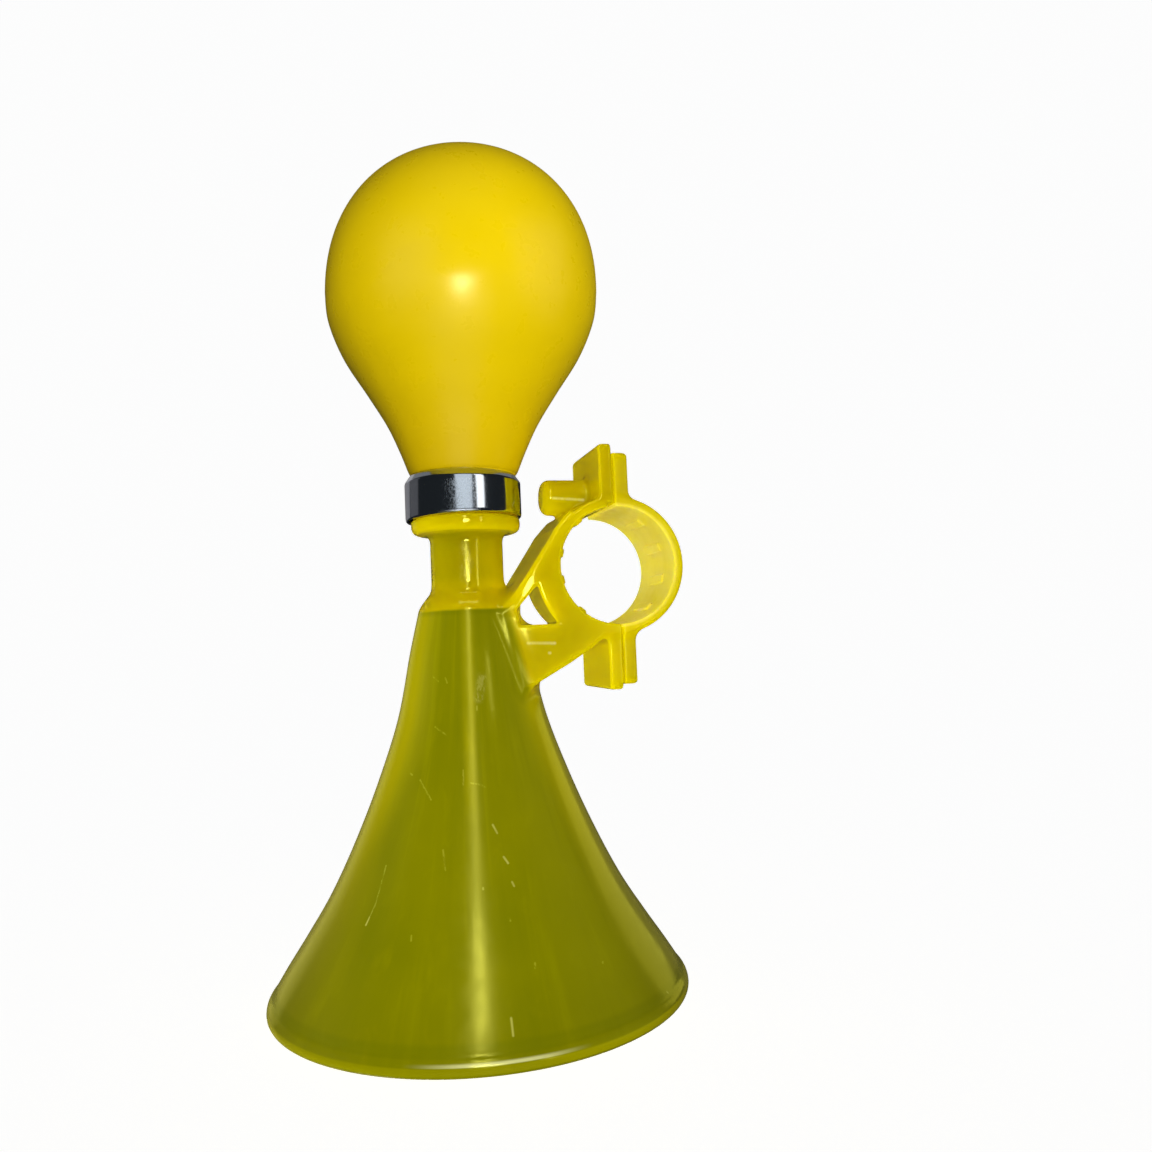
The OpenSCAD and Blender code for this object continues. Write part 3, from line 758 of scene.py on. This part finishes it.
def steel_material():
    t = Tree("screw_zinc_plating")
    haze = t.noise(t.scaled(1400), 1.0, 4.0, 0.6)
    colour = t.mix(t.ramp(haze, 0.35, 0.75), (0.60, 0.61, 0.62), (0.46, 0.46, 0.45))
    p = t.principled(Base_Color=colour, Roughness=t.ramp(haze, 0.3, 0.8, 0.22, 0.42), Normal=t.bump(t.noise(t.scaled(2600), 1.0, 2.0), 0.25, 0.00004))
    p.inputs["Metallic"].default_value = 1.0
    return t.mat


def small_material(name, a, b, scale, rough, metallic=0.0, stretch=1.0):
    t = Tree(name)
    grain = t.noise(t.scaled(scale, scale, scale / stretch), 1.0, 4.0, 0.6)
    colour = t.mix(t.ramp(grain, 0.3, 0.75), a, b)
    lines = t.scratches(0.002, 0.0001, 0.0007, 2.0, ((0.3, 0.9, 0),), 0.7)
    p = t.principled(Base_Color=colour, Roughness=t.math("ADD", t.ramp(grain, 0.3, 0.8, *rough), t.math("MULTIPLY", lines, 0.2)),
                     Normal=t.bump(lines, -0.4, 0.00004, t.bump(grain, 0.2, 0.00006)))
    p.inputs["Metallic"].default_value = metallic
    return t.mat


horn.data.materials.append(moulding_material())
horn.data.materials.append(hollow_material())
horn.data.polygons.foreach_set("material_index", is_hollow.astype(np.int32))
clamp_half.data.materials.append(clamp_material())
bulb.data.materials.append(rubber_material())
band.data.materials.append(chrome_material())
screw.data.materials.append(steel_material())


def dress(node, mat):
    o = NODE[node]
    o.data.materials.clear()
    o.data.materials.append(mat)


dress("reed_holder", small_material("holder_natural_plastic", (0.70, 0.67, 0.56), (0.60, 0.57, 0.46), 500, (0.35, 0.5)))
dress("reed_tongue", small_material("reed_rolled_brass", (0.76, 0.55, 0.20), (0.62, 0.42, 0.14), 900, (0.2, 0.36), 1.0, 12.0))
dress("reed_wedge", small_material("wedge_dull_plastic", (0.30, 0.21, 0.11), (0.20, 0.14, 0.08), 400, (0.5, 0.7)))

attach(horn, "horn")
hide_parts("bell", "clamp_bracket")
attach(clamp_half, "clamp_half")
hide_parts("clamp_half")
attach(screw, "clamp_screw")
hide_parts("clamp_screw")
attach(band, "horn")
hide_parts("band")
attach(bulb, "horn")
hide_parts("bulb")
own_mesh(bulb)

# ---------------------------------------------------------------------------
# floor, lights and camera
# ---------------------------------------------------------------------------
def stage():
    R, seg = 1.6, 96
    prof = [(0.0, 0.0)] + [(R * k / 12 * 0.72, 0.0) for k in range(1, 13)]
    for i in range(1, 25):
        a = math.pi / 2 * i / 24
        prof.append((R * 0.72 + R * 0.28 * math.sin(a), R * 0.28 * (1 - math.cos(a))))
    for i in range(1, 25):
        a = math.pi / 2 * i / 24
        prof.append((R * math.cos(a), R * 0.28 + R * math.sin(a)))
    o = lathe("studio_floor", [(r / MM, z / MM) for r, z in prof], seg, closed=False)
    o.location.z = -0.0002
    t = Tree("studio_white")
    d = t.node("ShaderNodeBsdfDiffuse")
    d.inputs[0].default_value = (0.4, 0.4, 0.4, 1)
    e = t.node("ShaderNodeEmission")
    e.inputs[0].default_value = (1, 1, 1, 1)
    e.inputs[1].default_value = 0.97
    add = t.node("ShaderNodeAddShader")
    t.t.links.new(d.outputs[0], add.inputs[0])
    t.t.links.new(e.outputs[0], add.inputs[1])
    t.t.links.new(add.outputs[0], t.out.inputs["Surface"])
    o.data.materials.append(t.mat)
    o.visible_glossy = False
    o.visible_diffuse = False
    return o


stage()

world = bpy.data.worlds.new("dim_room")
bpy.context.scene.world = world
world.use_nodes = True
world.node_tree.nodes["Background"].inputs[0].default_value = (0.8, 0.92, 1.0, 1)
world.node_tree.nodes["Background"].inputs[1].default_value = 0.02

CAM = Vector((-0.029195, -0.212521, 0.074058))
YAW, PITCH, ROLL, FOCAL = 0.2477, 0.0624, -0.0425, 972.74


def camera():
    f = Vector((math.sin(YAW) * math.cos(PITCH), math.cos(YAW) * math.cos(PITCH), math.sin(PITCH)))
    r = f.cross(Vector((0, 0, 1))).normalized()
    u = r.cross(f)
    c, s = math.cos(ROLL), math.sin(ROLL)
    right, up = r * c + u * s, u * c - r * s
    data = bpy.data.cameras.new("photo_camera")
    data.sensor_fit = "HORIZONTAL"
    data.sensor_width = 36.0
    data.lens = FOCAL / 1152 * 36.0
    data.clip_start, data.clip_end = 0.01, 20
    cam = bpy.data.objects.new("photo_camera", data)
    m = Matrix((right, up, -f)).transposed().to_4x4()
    m.translation = CAM
    cam.matrix_world = m
    bpy.context.scene.collection.objects.link(cam)
    bpy.context.scene.camera = cam


camera()
CAM_AZ = math.atan2(CAM.y, CAM.x)


def group(name, *objects):
    c = bpy.data.collections.new(name)
    for o in objects:
        c.objects.link(o)
    return c


PLASTIC = group("plastic_pieces", horn, clamp_half, screw)
RUBBER = group("rubber_piece", bulb)
PLATED = group("plated_piece", band)
OPAQUE = group("opaque_pieces", bulb, band)
SMALL = group("screw_alone", screw)


def lamp(name, az, el, dist, target, size, power, colour=(1, 1, 1), spread=180, glossy=True, only=None, shade=None):
    """A rectangular soft light. az is degrees to the right of the camera, el degrees up, seen from the target."""
    a, e = CAM_AZ + math.radians(az), math.radians(el)
    t = Vector(target)
    p = t + dist * Vector((math.cos(a) * math.cos(e), math.sin(a) * math.cos(e), math.sin(e)))
    data = bpy.data.lights.new(name, "AREA")
    data.shape = "RECTANGLE"
    data.size, data.size_y = size
    data.energy = power
    data.color = colour
    data.spread = math.radians(spread)
    o = bpy.data.objects.new(name, data)
    o.rotation_mode = "QUATERNION"
    o.rotation_quaternion = (p - t).to_track_quat("Z", "Y")
    o.location = p
    o.visible_camera = False
    o.visible_glossy = glossy
    if only:
        o.light_linking.receiver_collection = only
    if shade:      # only these throw shadows, for light that comes through the clear yellow plastic
        o.light_linking.blocker_collection = shade
    bpy.context.scene.collection.objects.link(o)
    return o


MID = (0, 0, 0.105)
RING = (0.031, 0, 0.085)
WARM, PLAIN, PINK = (1.0, 0.98, 0.94), (1.0, 1.0, 1.0), (1.0, 0.93, 0.94)
# name, az, el, distance, target, size, power, colour, glossy, pieces lit, pieces that throw shadows (all, if None)
LAMPS = [
    ("flash_rubber", 1, -5, 0.25, MID, (0.05, 0.05), 0.27, PLAIN, True, RUBBER, None),
    ("left_rubber", -42, 10, 0.8, MID, (0.6, 0.8), 3.4, PLAIN, False, RUBBER, None),
    ("right_rubber", 66, 10, 0.8, MID, (0.7, 0.8), 5.1, PLAIN, False, RUBBER, None),
    ("low_rubber", -5, -35, 0.6, MID, (0.5, 0.3), 0.9, PLAIN, False, RUBBER, None),
    ("back_rubber", 180, 12, 0.9, MID, (0.3, 0.3), 3.0, PLAIN, False, RUBBER, None),
    ("top_rubber", 0, 62, 0.6, MID, (0.5, 0.5), 0.25, PLAIN, False, RUBBER, None),
    ("flash_plastic", 1, -5, 0.25, MID, (0.05, 0.05), 0.28, PLAIN, True, PLASTIC, None),
    ("key_plastic", 32, 5, 0.8, MID, (0.06, 0.4), 0.50, WARM, True, PLASTIC, None),
    ("strip_plastic", -2, 24, 0.42, MID, (0.045, 0.38), 0.33, WARM, True, PLASTIC, None),
    ("high_plastic", -1, 36, 0.383, MID, (0.05, 0.10), 0.16, PLAIN, True, PLASTIC, None),
    ("over_plastic", 0, 75, 0.5, (0, 0, 0.03), (0.25, 0.1), 0.3, PLAIN, True, PLASTIC, None),
    ("right_plastic", 76, 10, 0.8, MID, (0.7, 0.8), 3.1, PLAIN, False, PLASTIC, OPAQUE),
    ("low_plastic", 0, -35, 0.6, MID, (0.5, 0.3), 2.1, PLAIN, False, PLASTIC, OPAQUE),
    ("ring_left", -84, 5, 0.5, RING, (0.3, 0.2), 0.7, PLAIN, False, PLASTIC, OPAQUE),
    ("ring_above", -95, 38, 0.5, RING, (0.2, 0.2), 1.9, PLAIN, False, PLASTIC, SMALL),
    ("ring_back", -148, -4, 0.5, RING, (0.2, 0.2), 0.3, PLAIN, False, PLASTIC, OPAQUE),
    ("ring_under", -90, -60, 0.4, RING, (0.2, 0.2), 2.0, PLAIN, False, PLASTIC, OPAQUE),
    ("behind_plastic", 180, 15, 0.9, MID, (0.9, 0.8), 3.0, PLAIN, False, PLASTIC, None),
    ("edge_left", -137, 10, 0.5, (0, 0, 0.06), (0.16, 0.36), 0.08, (1.0, 0.94, 0.2), True, PLASTIC, None),
    ("edge_right", 124, 8, 0.5, (0, 0, 0.03), (0.22, 0.15), 0.12, (1.0, 0.95, 0.12), True, PLASTIC, None),
    ("bar_plated", 34, 20, 0.8, MID, (0.22, 0.62), 0.75, WARM, True, PLATED, None),
    ("zone_plated", 2, 20, 0.42, MID, (0.24, 0.40), 0.26, (0.92, 0.97, 1.0), True, PLATED, None),
    ("low_plated", 0, -30, 0.5, MID, (0.35, 0.14), 0.45, PLAIN, True, PLATED, None),
    ("edge_plated", -148, 10, 0.5, MID, (0.35, 0.36), 0.09, PINK, True, PLATED, None),
    ("side_plated", -112, 10, 0.5, MID, (0.25, 0.36), 0.026, PINK, True, PLATED, None),
    ("ceiling_plated", 180, 50, 0.9, MID, (1.6, 1.2), 1.2, PLAIN, True, PLATED, None),
]
for name, az, el, dist, target, size, power, colour, glossy, lit, shade in LAMPS:
    lamp(name, az, el, dist, target, size, power, colour, 180, glossy, lit, shade)

scene = bpy.context.scene
scene.view_settings.view_transform = "Standard"
scene.view_settings.look = "None"
scene.cycles.use_denoising = True
